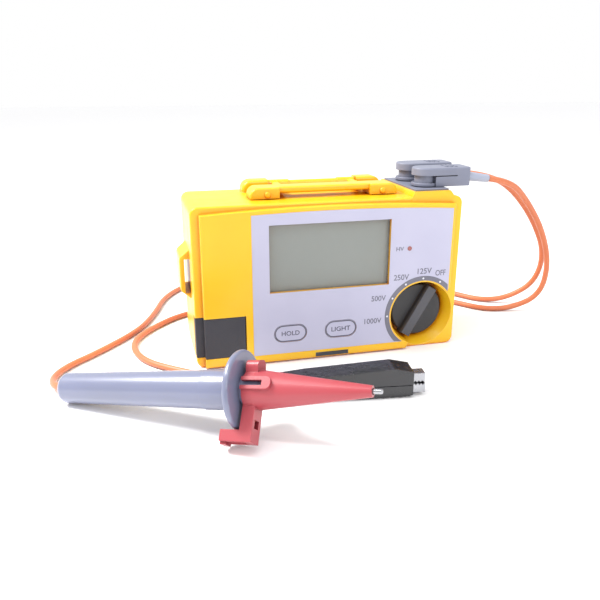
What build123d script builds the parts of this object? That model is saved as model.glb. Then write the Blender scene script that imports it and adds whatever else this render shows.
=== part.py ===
from build123d import *
import math
import os

# Hand-held digital insulation tester with two test leads, in millimetres.
# Frame: origin under the middle of the case on the surface it stands on,
# +X to the right along the front, +Y towards the back, +Z up.

# ---------------------------------------------------------------- case
CASE_WIDTH = 170.0
CASE_HEIGHT = 99.0
CASE_FRONT = -29.0          # plane of the lip round the raised panel
CASE_BACK = 33.0
WALL = 2.5
SEAM = -20.5                # plane where the two shells meet
GASKET_WIDTH = 1.2
GASKET_DEPTH = 1.2
CORNER_RADIUS = 5.0
FRONT_EDGE = 1.2
BACK_EDGE = 4.0

PANEL_PROUD = 4.0
PANEL_LEFT = -79.9
PANEL_RIGHT = 78.9
PANEL_BOTTOM = 1.0
PANEL_END_TOP = 94.7
ARCH_RISE = 2.5

LABEL_LEFT = -50.3
LABEL_RIGHT = 77.2
LABEL_BOTTOM = 6.3
LABEL_TOP_INSET = 2.6
LABEL_THICK = 0.2

# ---------------------------------------------------------------- display
LCD_LEFT = -40.0
LCD_RIGHT = 36.2
LCD_BOTTOM = 45.8
LCD_TOP = 87.3
WINDOW_THICK = 1.5
WINDOW_LAP = 2.0
LCD_THICK = 2.6
LCD_DEPTH_GAP = 0.2

# ---------------------------------------------------------------- range knob
KNOB_X = 59.4
KNOB_Z = 24.5
KNOB_RADIUS = 17.3
WELL_FLOOR_RADIUS = KNOB_RADIUS + 1.1
WELL_RADIUS = WELL_FLOOR_RADIUS + 2.6
WELL_DEPTH = 14.0
SCOOP_RADIUS = WELL_RADIUS + 0.6
SCOOP_SHIFT = 1.6
KNOB_FACE = 8.0             # depth of the knob disc's face under the panel
KNOB_GAP = 0.5              # between the knob's back and the well's floor
GRIP_LENGTH = 36.4
GRIP_WIDTH = 8.6
GRIP_PROUD = 4.6
KNOB_OFF_ANGLE = 60.0
SHAFT_RADIUS = 3.0
SHAFT_CLEARANCE = 0.1
BAND_INNER = 22.0

# ---------------------------------------------------------------- keys
KEY_GAP = 0.3
PUSH_LENGTH = 20.3
PUSH_HEIGHT = 10.9
PUSH_Z = 19.2
HOLD_X = -27.3
LIGHT_X = 5.15
PUSH_TRAVEL = 0.7
MEASURE_RIGHT = -55.0
MEASURE_BOTTOM = 7.2
MEASURE_TOP = 32.4
MEASURE_TRAVEL = 2.0
MEASURE_BACK = -24.0

# ---------------------------------------------------------------- lamp and catch
LAMP_X = 48.9
LAMP_Z = 68.2
LAMP_RADIUS = 1.4
CATCH_LEFT = -11.0
CATCH_RIGHT = 10.4
CATCH_BOTTOM = 1.8
CATCH_TOP = 4.4

# ---------------------------------------------------------------- boards
BOARD_FRONT = -6.0
BOARD_THICK = 1.6
BOARD_LEFT = -71.0
BOARD_RIGHT = 72.0
BOARD_BOTTOM = 14.0
BOARD_TOP = 81.0
KEY_BOARD_FRONT = -14.0
POST_RADIUS = 3.0
BOARD_SCREWS = [(-66, 20), (66, 56), (-66, 76), (60, 76)]

# ---------------------------------------------------------------- battery
CELL_RADIUS = 7.1
CELL_LENGTH = 49.5
CELL_PITCH = 15.0
BAY_LEFT = -56.0
BAY_RIGHT = 50.0
BAY_BOTTOM = 16.0
BAY_TOP = 48.0
BAY_DEPTH = 16.5
COVER_LAP = 3.0
COVER_THICK = 2.2
COVER_GAP = 0.2

# ---------------------------------------------------------------- terminals
BLOCK_TOP = 102.4
BLOCK_LEFT = 52.4
BLOCK_RIGHT = 76.4
BLOCK_SLOPE = 3.6
BLOCK_BACK = 28.0
PLATE_THICK = 1.6
PLATE_PROUD = 1.0
PLATE_MARGIN = 1.2
SOCKET_X = 65.7
SOCKET_PITCH = 26.0
SOCKET_RADIUS = 6.0
SLEEVE_RADIUS = 3.0
SOCKET_BOTTOM = 84.0
PIN_RADIUS = 2.0
PIN_CLEARANCE = 0.05

# ---------------------------------------------------------------- plugs
PLUG_GAP = 0.3
PLUG_WIDTH = 17.0
PLUG_LENGTH = 36.5
PLUG_HEIGHT = 11.6
PLUG_TOP_THICK = 4.8
PLUG_NECK_RADIUS = 6.6
PLUG_FLANGE_THICK = 2.2
PLUG_BLOCK_START = 12.3
PLUG_SLOT = 0.6
PIN_LENGTH = 15.5
RELIEF_LENGTH = 16.6
RELIEF_TILT = 8.0

# ---------------------------------------------------------------- handle
HANDLE_HALF_LEFT = 47.0
HANDLE_HALF_RIGHT = 47.0
RAIL_FRONT = -11.5
RAIL_BACK = 1.0
RAIL_TOP = 106.0
RAIL_THICK = 4.0
EAR_FRONT = -14.0
EAR_WIDTH = 18.0
LIFT_GAP = 0.4              # between the folded handle and the case top
ARM_WIDTH = 5.0
ARM_LEFT_X = -25.0
ARM_RIGHT_X = 26.6
HINGE_Y = 21.0
HINGE_Z = 102.8
BARREL_RADIUS = 3.0
LUG_WIDTH = 17.0
LUG_DEPTH = 12.0
HINGE_PIN_RADIUS = 1.5
HINGE_CLEARANCE = 0.1
LUG_GAP = 0.4

# ---------------------------------------------------------------- strap loop
LOOP_OUT = 6.2
LOOP_FRONT = -13.0
LOOP_BACK = 12.0
LOOP_BOTTOM = 39.0
LOOP_TOP = 72.0
SLIT_WIDTH = 3.2
SLIT_BOTTOM = 43.5
SLIT_TOP = 65.0

# ---------------------------------------------------------------- case screws
SCREW_RADIUS = 1.5
SCREW_HEAD_RADIUS = 2.8
BOSS_RADIUS = 4.0
CASE_SCREWS = [(-45, 8.5), (30, 8.5), (-76, 90), (77, 89)]

# ---------------------------------------------------------------- hand probe
PROBE_REAR = (-158.9, -53.5, 8.0)
PROBE_YAW = -34.4
PROBE_RISE = 9.0
HANDLE_REAR_RADIUS = 8.2
HANDLE_FRONT_RADIUS = 9.7
COLLAR_RADIUS = 10.1
COLLAR_START = 89.0
GUARD_START = 106.5
GUARD_THICK = 3.2
GUARD_RADIUS = 19.6
NOSE_RADIUS = 7.6
NOSE_END = 150.0
TIP_RADIUS = 1.2
TIP_END = 177.9
COVER_START = 112.0
COVER_END = 173.4
COVER_BASE_RADIUS = 9.9
COVER_TIP_RADIUS = 2.7
COVER_WALL = 1.3
BRACKET_ANGLE = -50.0
BRACKET_REACH = 25.7
BRACKET_WIDTH = 9.0
BRACKET_BACK = 10.5         # reach of the bracket's foot behind the cover
SLOT_ANGLE = 45.0
EAR_ANGLE = 112.0

# ---------------------------------------------------------------- crocodile clip
CLIP_ORIGIN = (-50.6, -80.3, 0.2)
CLIP_YAW = -7.7
CLIP_LENGTH = 79.0
CLIP_WIDTH = 14.0
CLIP_SPLIT = 7.5
CLIP_PIVOT_X = 30.0
CLIP_WALL = 1.6
CLIP_SEAM = 0.4
CLIP_OPEN = 10.0
JAW_END = 86.5
JAW_SHEET = 0.9
JAW_WIDTH = 9.2
CLIP_PIN_RADIUS = 1.2
LEAD_ENTRY = 3.0            # height of the lead's centre line at the clip

# ---------------------------------------------------------------- test leads
LEAD_RADIUS = 2.0
LEAD_STRAIGHT = 17.0        # first stretch out of a strain relief
LEAD_INTO_CLIP = 10.0
LEAD_INTO_PROBE = 7.0

# Each lead's corners between its first and last straight stretch, which lie
# along the strain relief's axis and along the axis of what it ends in.
CLIP_LEAD = [
    (146, -4, 90), (166, 2, 66), (178.5, 7, 38), (177, 11, 13), (158, 18, 2.1),
    (137, 21, 2.1), (123.5, 40, 2.1), (104, 62, 2.1), (68, 85, 2.1), (20, 90, 2.1), (-35, 82, 2.1),
    (-84, 68, 2.1), (-110, 42, 2.1), (-124, 16, 2.1), (-117, -14, 2.1), (-95, -35, 2.1),
    (-77, -48, 2.1), (-71, -64, 2.1),
]
PROBE_LEAD = [
    (147, 16, 94), (168, 18, 71), (182.5, 19.5, 44), (180.5, 24, 19), (165, 35, 4.5),
    (147, 40, 2.1), (134, 57, 2.1), (122, 84, 2.1), (84, 122, 2.1), (32, 146, 2.1), (-24, 154, 2.1),
    (-70, 146, 2.1), (-96, 113, 2.1), (-106, 72, 2.1), (-118, 40, 2.1), (-144, 7, 2.1),
    (-163, -12, 2.1), (-169, -30, 3.2),
]

PANEL_FRONT = CASE_FRONT - PANEL_PROUD
HALF_WIDTH = CASE_WIDTH / 2
CENTRE = Align.CENTER
LOW = Align.MIN


# ---------------------------------------------------------------- helpers
def box(x0, x1, y0, y1, z0, z1):
    """Block between two corners."""
    block = Box(x1 - x0, y1 - y0, z1 - z0)
    return Pos((x0 + x1) / 2, (y0 + y1) / 2, (z0 + z1) / 2) * block


def rod(start, end, radius):
    """Round bar from one point to another."""
    along = Vector(*end) - Vector(*start)
    place = Plane(origin=start, z_dir=along)
    return place.location * Cylinder(radius, along.length, align=(CENTRE, CENTRE, LOW))


def y_rod(x, z, y0, y1, radius):
    """Round bar along Y."""
    return rod((x, y0, z), (x, y1, z), radius)


def z_rod(x, y, z0, z1, radius):
    """Round bar along Z."""
    return rod((x, y, z0), (x, y, z1), radius)


def x_rod(y, z, x0, x1, radius):
    """Round bar along X."""
    return rod((x0, y, z), (x1, y, z), radius)


def facing(y):
    """Drawing plane that looks out of the front: X to the right, Z up."""
    return Plane(origin=(0, y, 0), x_dir=(1, 0, 0), z_dir=(0, -1, 0))


def slab(outline, y_front, y_back):
    """Extrude an outline drawn in X and Z between two depths."""
    return extrude(facing(y_back) * outline, amount=y_back - y_front)


def outline_xz(points):
    """Closed straight-sided outline."""
    return make_face(Polyline(*points, close=True))


def obround_y(x, z, length, height, y0, y1):
    """Rounded-end bar standing out of the front."""
    return slab(Pos(x, z) * SlotOverall(length, height), y0, y1)


def arched(left, right, bottom, end_top, rise):
    """Rectangle whose top edge is a shallow arch."""
    middle = (left + right) / 2
    top = ThreePointArc((right, end_top), (middle, end_top + rise), (left, end_top))
    sides = Polyline((left, end_top), (left, bottom), (right, bottom), (right, end_top))
    return make_face(Curve() + top + sides)


def cut_cone(x, z, y0, r0, y1, r1):
    """Cone along Y with its two radii."""
    place = Plane(origin=(x, y0, z), z_dir=(0, 1, 0))
    return place.location * Cone(r0, r1, y1 - y0, align=(CENTRE, CENTRE, LOW))


# ---------------------------------------------------------------- case form
def case_form():
    """Outside of the case without its cavity."""
    base = box(-HALF_WIDTH, HALF_WIDTH, CASE_FRONT, CASE_BACK, 0, CASE_HEIGHT)
    base = fillet(base.edges().filter_by(Axis.Y), CORNER_RADIUS)
    base = fillet(base.faces().sort_by(Axis.Y)[-1].edges(), BACK_EDGE)
    base = fillet(base.faces().sort_by(Axis.Y)[0].edges(), FRONT_EDGE)
    return base + terminal_block()


def terminal_block():
    """Raised block on the top that carries the terminals."""
    foot = CASE_HEIGHT - 1.0
    right_foot = BLOCK_RIGHT + BLOCK_SLOPE
    left_foot = BLOCK_LEFT - BLOCK_SLOPE / 2
    points = [(left_foot, foot), (BLOCK_LEFT, BLOCK_TOP), (BLOCK_RIGHT, BLOCK_TOP), (right_foot, foot)]
    return slab(outline_xz(points), CASE_FRONT, BLOCK_BACK)


def cavity():
    """Space inside both shells."""
    hollow = box(
        -HALF_WIDTH + WALL, HALF_WIDTH - WALL, CASE_FRONT + WALL, CASE_BACK - WALL, WALL, CASE_HEIGHT - WALL
    )
    hollow = fillet(hollow.edges().filter_by(Axis.Y), CORNER_RADIUS - WALL / 2)
    return fillet(hollow.faces().sort_by(Axis.Y)[-1].edges(), BACK_EDGE - WALL)


def knob_sector(y0, y1):
    """Lower right corner of the panel, where the raised face stops."""
    reach = 75.0
    start = math.radians(-112.0)
    end = math.radians(40.0)
    first = (KNOB_X + reach * math.cos(start), KNOB_Z + reach * math.sin(start))
    last = (KNOB_X + reach * math.cos(end), KNOB_Z + reach * math.sin(end))
    corner = (KNOB_X + reach, KNOB_Z - reach)
    return slab(outline_xz([(KNOB_X, KNOB_Z), first, corner, last]), y0, y1)


def knob_well():
    """Conical well for the knob with a finger scoop to the lower right."""
    floor = PANEL_FRONT + WELL_DEPTH
    slope = (WELL_RADIUS - WELL_FLOOR_RADIUS) / WELL_DEPTH
    cone = cut_cone(KNOB_X, KNOB_Z, PANEL_FRONT - 1, WELL_RADIUS + slope, floor, WELL_FLOOR_RADIUS)
    far = facing(floor - 1.0) * Pos(KNOB_X, KNOB_Z) * Circle(WELL_FLOOR_RADIUS - 0.5)
    centre = Pos(KNOB_X + SCOOP_SHIFT, KNOB_Z - SCOOP_SHIFT)
    near = facing(CASE_FRONT) * centre * Circle(SCOOP_RADIUS)
    scoop = loft([far.face(), near.face()])
    scoop += slab(centre * Circle(SCOOP_RADIUS), PANEL_FRONT - 1, CASE_FRONT)
    return cone + (scoop & knob_sector(PANEL_FRONT - 2, floor))


def knob_boss():
    """Wall round the knob's well, inside the case."""
    back = PANEL_FRONT + WELL_DEPTH + 2.0
    round_well = y_rod(KNOB_X, KNOB_Z, CASE_FRONT, back, WELL_RADIUS + 1.5)
    round_scoop = y_rod(
        KNOB_X + SCOOP_SHIFT, KNOB_Z - SCOOP_SHIFT, CASE_FRONT, back - 5.0, SCOOP_RADIUS + 1.5
    )
    inside = box(-HALF_WIDTH, HALF_WIDTH - 1, CASE_FRONT + 1, SEAM, 1, CASE_HEIGHT)
    inside += box(-HALF_WIDTH, HALF_WIDTH - WALL - 0.2, SEAM, back, WALL + 0.2, CASE_HEIGHT)
    return (round_well + round_scoop) & inside


def measure_outline(grow):
    """Section of the measure key through X and Y, stepped round the case corner."""
    left = -HALF_WIDTH - 1.0 if grow > 0 else -HALF_WIDTH + 0.1
    back = MEASURE_BACK + MEASURE_TRAVEL + grow if grow > 0 else MEASURE_BACK
    step = PANEL_LEFT
    right = MEASURE_RIGHT + grow
    front = PANEL_FRONT - grow
    lip = CASE_FRONT - grow
    return [(left, lip), (step, lip), (step, front), (right, front), (right, back), (left, back)]


def measure_block(grow):
    """Measure key's outer block, or its opening when it is grown by the gap."""
    low = MEASURE_BOTTOM - grow
    section = Plane.XY.offset(low) * make_face(Polyline(*measure_outline(grow), close=True))
    return extrude(section, amount=MEASURE_TOP + grow - low)


# ---------------------------------------------------------------- shells
def front_shell():
    """Front half of the case with the raised panel."""
    panel = slab(
        arched(PANEL_LEFT, PANEL_RIGHT, PANEL_BOTTOM, PANEL_END_TOP, ARCH_RISE), PANEL_FRONT, CASE_FRONT + 1
    )
    panel = chamfer(panel.faces().sort_by(Axis.Y)[0].edges(), 0.5)
    panel -= knob_sector(PANEL_FRONT - 1, CASE_FRONT)
    shell = case_form() + panel
    shell -= cavity()
    left = PANEL_LEFT + WALL
    right = PANEL_RIGHT - WALL
    low = PANEL_BOTTOM + WALL + 0.5
    face = arched(left, right, low, PANEL_END_TOP - WALL, ARCH_RISE)
    thin = slab(face, PANEL_FRONT + WALL, CASE_FRONT + WALL + 0.5)
    shell -= thin - knob_sector(PANEL_FRONT - 1, SEAM)
    shell = shell & box(-100, 100, -100, SEAM, -10, 200)
    shell += knob_boss()
    shell += y_rod(KNOB_X, KNOB_Z, PANEL_FRONT + 0.6, CASE_FRONT + 2, WELL_RADIUS + 1.5) & panel
    within = box(-HALF_WIDTH + 1, HALF_WIDTH - 1, CASE_FRONT + 1, SEAM, 1, CASE_HEIGHT - 1)
    within += box(
        PANEL_LEFT + 1.5, PANEL_RIGHT - 1.5, PANEL_FRONT + 1, SEAM, PANEL_BOTTOM + 1.5, PANEL_END_TOP - 1.5
    )
    for x, z in CASE_SCREWS:
        shell += y_rod(x, z, PANEL_FRONT + WALL - 0.5, SEAM, BOSS_RADIUS) & within
    shell -= knob_well()
    for x, z in CASE_SCREWS:
        shell -= y_rod(x, z, SEAM - 6.0, SEAM, SCREW_RADIUS)
    shell -= y_rod(KNOB_X, KNOB_Z, PANEL_FRONT, 0, SHAFT_RADIUS + SHAFT_CLEARANCE)
    shell -= box(LCD_LEFT, LCD_RIGHT, PANEL_FRONT - 1, CASE_FRONT + 5, LCD_BOTTOM, LCD_TOP)
    for x in (HOLD_X, LIGHT_X):
        shell -= obround_y(
            x, PUSH_Z, PUSH_LENGTH + 2 * KEY_GAP, PUSH_HEIGHT + 2 * KEY_GAP, PANEL_FRONT - 1, CASE_FRONT + 5
        )
    shell -= y_rod(LAMP_X, LAMP_Z, PANEL_FRONT - 1, CASE_FRONT + 5, LAMP_RADIUS)
    shell -= box(CATCH_LEFT, CATCH_RIGHT, PANEL_FRONT - 1, PANEL_FRONT + 2.0, CATCH_BOTTOM, CATCH_TOP)
    shell -= measure_block(KEY_GAP)
    shell -= plate_pocket()
    return shell


def plate_pocket():
    """Recess in the terminal block's top for the grey plate."""
    return plate_block(BLOCK_TOP + PLATE_PROUD)


def plate_block(top):
    """Terminal plate's outline up to a height."""
    return box(
        BLOCK_LEFT + PLATE_MARGIN,
        BLOCK_RIGHT - PLATE_MARGIN / 2,
        CASE_FRONT + 2.0,
        BLOCK_BACK - 2.5,
        BLOCK_TOP + PLATE_PROUD - PLATE_THICK,
        top,
    )


def socket_ys():
    """Depths of the two terminals."""
    return (-SOCKET_PITCH / 2, SOCKET_PITCH / 2)


def hinge_lug(outer, inner):
    """Fixed hinge lug on the case top, rounded at its outer end."""
    low = min(outer, inner)
    high = max(outer, inner)
    lug = box(low, high, HINGE_Y - LUG_DEPTH / 2, HINGE_Y + LUG_DEPTH / 2, CASE_HEIGHT - 1, RAIL_TOP + 0.4)
    tall = lug.edges().filter_by(Axis.Y).group_by(Axis.Z)[-1]
    tip = tall.sort_by(Axis.X)[0] if outer < inner else tall.sort_by(Axis.X)[-1]
    lug = fillet(tip, 6.0)
    top = lug.faces().filter_by(Axis.Z).sort_by(Axis.Z)[-1]
    return fillet(top.edges().filter_by(Axis.X), 2.0)


def lug_spans():
    """Outer and inner X of each hinge lug."""
    left = -HANDLE_HALF_LEFT
    right = HANDLE_HALF_RIGHT
    return [(left, left + LUG_WIDTH), (right, right - LUG_WIDTH)]


def strap_loop():
    """D-shaped loop for a neck strap on the left side."""
    left = -HALF_WIDTH - LOOP_OUT
    root = -HALF_WIDTH + 1
    points = [(root, LOOP_BOTTOM), (left, LOOP_BOTTOM + 6), (left, LOOP_TOP - 6), (root, LOOP_TOP)]
    loop = slab(outline_xz(points), LOOP_FRONT, LOOP_BACK)
    loop = fillet(loop.edges().filter_by(Axis.Y).group_by(Axis.X)[0], 4.0)
    loop = fillet(loop.faces().sort_by(Axis.X)[0].edges(), 1.0)
    slit = box(-HALF_WIDTH - SLIT_WIDTH, -HALF_WIDTH, LOOP_FRONT - 1, LOOP_BACK + 1, SLIT_BOTTOM, SLIT_TOP)
    return loop - slit


def bay_box(margin, y0, y1):
    """Battery bay grown by a margin all round, between two depths."""
    return box(BAY_LEFT - margin, BAY_RIGHT + margin, y0, y1, BAY_BOTTOM - margin, BAY_TOP + margin)


def rear_shell():
    """Rear half of the case with bay, bosses, lugs and strap loop."""
    shell = case_form() - cavity()
    shell = shell & box(-100, 100, SEAM, 100, -10, 200)
    bay_front = CASE_BACK - WALL - BAY_DEPTH
    shell += bay_box(2.0, bay_front - 2.0, CASE_BACK - 1)
    shell -= bay_box(0, bay_front, CASE_BACK + 1)
    shell -= bay_box(COVER_LAP, CASE_BACK - COVER_THICK, CASE_BACK + 1)
    shell += y_rod((BAY_LEFT + BAY_RIGHT) / 2, BAY_TOP + COVER_LAP + 3, 20, CASE_BACK - 1, 3.6)
    shell -= y_rod((BAY_LEFT + BAY_RIGHT) / 2, BAY_TOP + COVER_LAP + 3, 24, CASE_BACK + 1, 1.25)
    shell -= cover_tongue(COVER_GAP)
    for x, z in CASE_SCREWS:
        shell += y_rod(x, z, SEAM, CASE_BACK - 1, BOSS_RADIUS) & box(
            -HALF_WIDTH + 1, HALF_WIDTH - 1, SEAM, CASE_BACK - 1, 1, CASE_HEIGHT - 1
        )
    for x, z in BOARD_SCREWS:
        shell += y_rod(x, z, BOARD_FRONT + BOARD_THICK, CASE_BACK - 1, POST_RADIUS)
    for x, z in CASE_SCREWS:
        shell -= y_rod(x, z, SEAM - 1, CASE_BACK + 1, SCREW_RADIUS + 0.2)
        shell -= y_rod(x, z, CASE_BACK - 6.0, CASE_BACK + 1, SCREW_HEAD_RADIUS + 0.2)
    for x, z in BOARD_SCREWS:
        shell -= y_rod(x, z, BOARD_FRONT, BOARD_FRONT + 10.0, 1.0)
    shell -= seam_ring(SEAM, SEAM + GASKET_DEPTH)
    for outer, inner in lug_spans():
        shell += hinge_lug(outer, inner)
    shell -= x_rod(HINGE_Y, HINGE_Z, -HANDLE_HALF_LEFT + 3, HANDLE_HALF_RIGHT - 3, HINGE_PIN_RADIUS)
    shell += strap_loop()
    shell -= plate_pocket()
    for y in socket_ys():
        shell -= z_rod(SOCKET_X, y, SOCKET_BOTTOM, BLOCK_TOP + 2, SOCKET_RADIUS)
    for side in (-1, 1):
        groove = box(side * 60 - 12, side * 60 + 12, CASE_BACK - 0.8, CASE_BACK + 1, 70, 71.2)
        for step in range(5):
            shell -= Pos(0, 0, step * 3.0) * groove
    return shell


def cover_tongue(gap):
    """Tongue on top of the battery cover that takes the screw."""
    x = (BAY_LEFT + BAY_RIGHT) / 2
    z = BAY_TOP + COVER_LAP
    return box(x - 5 - gap, x + 5 + gap, CASE_BACK - COVER_THICK, CASE_BACK + 1, z - 1, z + 6.5 + gap)


def seam_ring(y0, y1):
    """Ring along the middle of the case wall at the seam."""
    inset = (WALL - GASKET_WIDTH) / 2
    half = HALF_WIDTH - inset
    outer = box(-half, half, y0, y1, inset, CASE_HEIGHT - inset)
    outer = fillet(outer.edges().filter_by(Axis.Y), CORNER_RADIUS - inset)
    half = half - GASKET_WIDTH
    low = inset + GASKET_WIDTH
    inner = box(-half, half, y0 - 1, y1 + 1, low, CASE_HEIGHT - low)
    inner = fillet(inner.edges().filter_by(Axis.Y), CORNER_RADIUS - low)
    return outer - inner


def case_gasket():
    """Soft cord in the seam between the shells."""
    return seam_ring(SEAM, SEAM + GASKET_DEPTH)


# ---------------------------------------------------------------- front furniture
def panel_label():
    """Printed film on the raised panel."""
    end_top = PANEL_END_TOP - LABEL_TOP_INSET
    film = slab(
        arched(PANEL_LEFT + 1, PANEL_RIGHT - 1, LABEL_BOTTOM, end_top, ARCH_RISE),
        PANEL_FRONT - LABEL_THICK,
        PANEL_FRONT,
    )
    film = film & box(LABEL_LEFT, LABEL_RIGHT, -40, -20, 0, 120)
    film -= y_rod(KNOB_X, KNOB_Z, -40, -20, BAND_INNER)
    film -= knob_sector(-40, -20)
    film -= box(LCD_LEFT, LCD_RIGHT, -40, -20, LCD_BOTTOM, LCD_TOP)
    for x in (HOLD_X, LIGHT_X):
        film -= obround_y(x, PUSH_Z, PUSH_LENGTH + 2 * KEY_GAP, PUSH_HEIGHT + 2 * KEY_GAP, -40, -20)
    film -= y_rod(LAMP_X, LAMP_Z, -40, -20, LAMP_RADIUS)
    return film


def push_key(x):
    """Flat round-ended key with a flange behind the panel wall."""
    wall_back = PANEL_FRONT + WALL
    cap = obround_y(x, PUSH_Z, PUSH_LENGTH, PUSH_HEIGHT, PANEL_FRONT - LABEL_THICK, wall_back + 1.2)
    flange = obround_y(x, PUSH_Z, PUSH_LENGTH + 3, PUSH_HEIGHT + 3, wall_back + 0.3, wall_back + 1.2)
    return cap + flange


def key_switch(x):
    """Long-stem switch under a push key."""
    body = box(x - 3, x + 3, KEY_BOARD_FRONT - 4, KEY_BOARD_FRONT, PUSH_Z - 3, PUSH_Z + 3)
    tip = PANEL_FRONT + WALL + 1.2 + PUSH_TRAVEL + 0.1
    return body + y_rod(x, PUSH_Z, tip, KEY_BOARD_FRONT - 3, 1.75)


def measure_key():
    """Large key that wraps round the case's front left corner."""
    key = measure_block(0)
    key = fillet(key.edges().filter_by(Axis.Z).group_by(Axis.Y)[0], 0.8)
    low = MEASURE_BOTTOM
    high = MEASURE_TOP
    hollow = box(PANEL_LEFT + 0.5, MEASURE_RIGHT - 2, CASE_FRONT, MEASURE_BACK + 5, low + 2, high - 2)
    key -= hollow
    flange = box(PANEL_LEFT + 4, MEASURE_RIGHT + 1.6, MEASURE_BACK - 1.5, MEASURE_BACK, low - 1.4, high + 1.4)
    flange -= box(PANEL_LEFT + 2, MEASURE_RIGHT - 2, -40, 0, low + 2, high - 2)
    middle_x = measure_centre()[0]
    middle_z = measure_centre()[1]
    plunger = y_rod(middle_x, middle_z, CASE_FRONT - 0.5, MEASURE_BACK + 1, 2.0)
    return key + flange + plunger


def measure_centre():
    """X and Z of the measure key's plunger."""
    return ((PANEL_LEFT + MEASURE_RIGHT) / 2, (MEASURE_BOTTOM + MEASURE_TOP) / 2)


def measure_switch():
    """Key switch on the key board behind the measure key."""
    x, z = measure_centre()
    back = KEY_BOARD_FRONT
    tip = MEASURE_BACK + 1 + MEASURE_TRAVEL + 0.1
    return box(x - 3.5, x + 3.5, back - 1.0, back, z - 3.5, z + 3.5) + y_rod(x, z, tip, back - 0.5, 1.4)


def measure_spring():
    """Return spring round the measure key's plunger."""
    x, z = measure_centre()
    start = CASE_FRONT + 0.4
    height = KEY_BOARD_FRONT - 1.4 - start
    wire = 0.4
    path = Helix(pitch=height / 5.0, height=height, radius=5.6)
    section = Plane(origin=path @ 0, z_dir=path % 0) * Circle(wire)
    coil = sweep(section, path=path)
    return Plane(origin=(x, start, z), z_dir=(0, 1, 0)).location * coil


def lcd_window():
    """Clear cover behind the display opening."""
    front = PANEL_FRONT + WALL
    lap = WINDOW_LAP
    return box(LCD_LEFT - lap, LCD_RIGHT + lap, front, front + WINDOW_THICK, LCD_BOTTOM - lap, LCD_TOP + lap)


def lcd_front():
    """Depth of the display glass's front face."""
    return PANEL_FRONT + WALL + WINDOW_THICK + LCD_DEPTH_GAP


def lcd_glass():
    """Liquid crystal display behind the window."""
    y = lcd_front()
    return box(LCD_LEFT - 1, LCD_RIGHT + 1, y, y + LCD_THICK, LCD_BOTTOM - 1, LCD_TOP + 1)


def lcd_frame():
    """Carrier behind the display glass, with legs to the main board."""
    y = lcd_front() + LCD_THICK
    back = y + 2.0
    frame = box(LCD_LEFT - 2.5, LCD_RIGHT + 2.5, y, back, LCD_BOTTOM - 2.5, LCD_TOP + 2.5)
    frame -= box(LCD_LEFT + 5, LCD_RIGHT - 5, y - 1, back + 1, LCD_BOTTOM + 5, LCD_TOP - 5)
    for x in (LCD_LEFT + 1, LCD_RIGHT - 1):
        for z in (LCD_BOTTOM + 1, BOARD_TOP - 5):
            frame += y_rod(x, z, back - 0.5, BOARD_FRONT, 1.8)
    return frame


def lcd_connector():
    """Two rubber contact strips between the display and the board."""
    y = lcd_front() + LCD_THICK
    strips = []
    for z in (LCD_BOTTOM + 6.5, BOARD_TOP - 8):
        strips.append(box(LCD_LEFT + 8, LCD_RIGHT - 8, y, BOARD_FRONT, z - 1, z + 1))
    return strips


def hv_lamp():
    """Lens and body of the high-voltage lamp."""
    lens = y_rod(LAMP_X, LAMP_Z, PANEL_FRONT - LABEL_THICK - 0.3, PANEL_FRONT + WALL, LAMP_RADIUS)
    body = y_rod(LAMP_X, LAMP_Z, PANEL_FRONT + WALL, BOARD_FRONT, 2.2)
    return lens + body


def panel_catch():
    """Dark insert in the slot under the label."""
    return box(CATCH_LEFT, CATCH_RIGHT, PANEL_FRONT - 0.1, PANEL_FRONT + 2.0, CATCH_BOTTOM, CATCH_TOP)


# ---------------------------------------------------------------- range knob
def grip_frame():
    """Frame at the knob's face whose X runs along the grip at the OFF position."""
    angle = math.radians(KNOB_OFF_ANGLE)
    along = (math.cos(angle), 0, math.sin(angle))
    return Plane(origin=(KNOB_X, PANEL_FRONT + KNOB_FACE, KNOB_Z), x_dir=along, z_dir=(0, -1, 0))


def range_knob():
    """Round knob with a raised bar grip."""
    face = PANEL_FRONT + KNOB_FACE
    back = PANEL_FRONT + WELL_DEPTH - KNOB_GAP
    disc = y_rod(KNOB_X, KNOB_Z, face, back, KNOB_RADIUS)
    disc = chamfer(disc.faces().sort_by(Axis.Y)[0].edges(), 0.8)
    base = Pos(0, 0, -1) * Rectangle(GRIP_LENGTH, GRIP_WIDTH)
    crest = Pos(0, 0, GRIP_PROUD) * Rectangle(GRIP_LENGTH - 1.0, GRIP_WIDTH - 2.4)
    bar = loft([base.face(), crest.face()])
    bar = bar & Pos(0, 0, -2) * Cylinder(GRIP_LENGTH / 2, GRIP_PROUD + 4, align=(CENTRE, CENTRE, LOW))
    bar = fillet(bar.faces().sort_by(Axis.Z)[-1].edges(), 0.6)
    knob = disc + grip_frame().location * bar
    return knob - y_rod(KNOB_X, KNOB_Z, back - 4.0, back + 1, SHAFT_RADIUS)


def knob_shaft():
    """Shaft from the knob into the rotary switch."""
    back = PANEL_FRONT + WELL_DEPTH - KNOB_GAP
    return y_rod(KNOB_X, KNOB_Z, back - 4.0, BOARD_FRONT - 1.5, SHAFT_RADIUS)


def rotary_switch():
    """Body of the range switch between the well and the main board."""
    front = PANEL_FRONT + WELL_DEPTH + 2.3
    body = y_rod(KNOB_X, KNOB_Z, front, BOARD_FRONT, 12.0)
    return body - y_rod(KNOB_X, KNOB_Z, front - 1, BOARD_FRONT - 1, SHAFT_RADIUS + SHAFT_CLEARANCE)


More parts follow.
